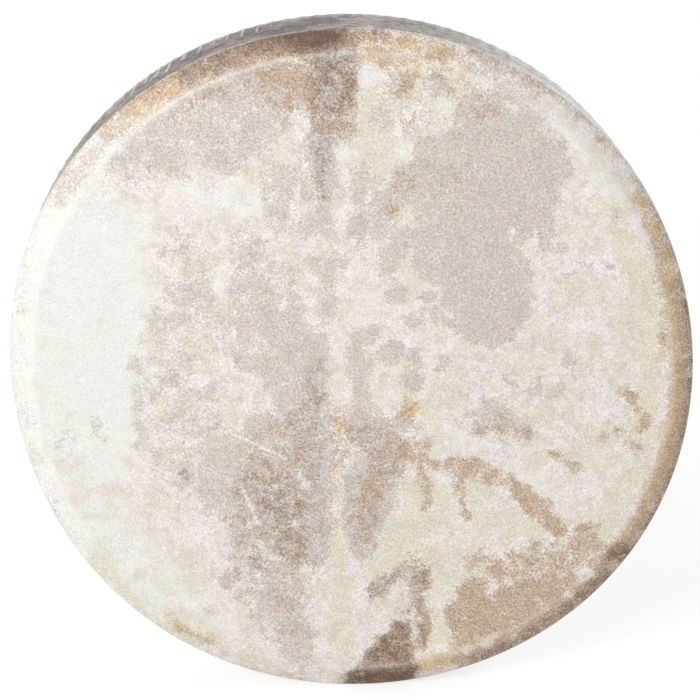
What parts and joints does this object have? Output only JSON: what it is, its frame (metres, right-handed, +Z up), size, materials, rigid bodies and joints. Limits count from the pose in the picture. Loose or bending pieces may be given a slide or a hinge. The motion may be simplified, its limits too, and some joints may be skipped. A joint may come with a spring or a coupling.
{
  "type": "shaman drum",
  "caption": "Round single-headed frame drum: mottled rawhide stretched over a laminated bent-wood hoop and laced at the back to a ring with a wrapped cross grip.",
  "frame": {"origin": "centre of the grip ring, on the drum's axis, where a hand holds the drum", "axes": "+Z up as the drum is held, +Y along the drum's axis out of its open back, so the head faces -Y; +X to the right seen from the head"},
  "size_m": [0.3974, 0.06, 0.4],
  "materials": {
    "hide": "satin",
    "ash": "satin",
    "oak": "matte",
    "rawhide": "satin",
    "leather": "matte",
    "steel": "satin"
  },
  "bodies": {
    "root": {"head_skin": "hide", "outer_ply": "ash", "middle_ply": "ash", "inner_ply": "ash", "scarf_peg_1": "oak", "scarf_peg_2": "oak", "scarf_peg_3": "oak", "scarf_peg_4": "oak", "grip_ring": "steel", "lace_right": "rawhide", "lace_top": "rawhide", "lace_left": "rawhide", "lace_bottom": "rawhide", "wrap_right": "leather", "wrap_top": "leather", "wrap_left": "leather", "wrap_bottom": "leather"}
  },
  "joints": []
}
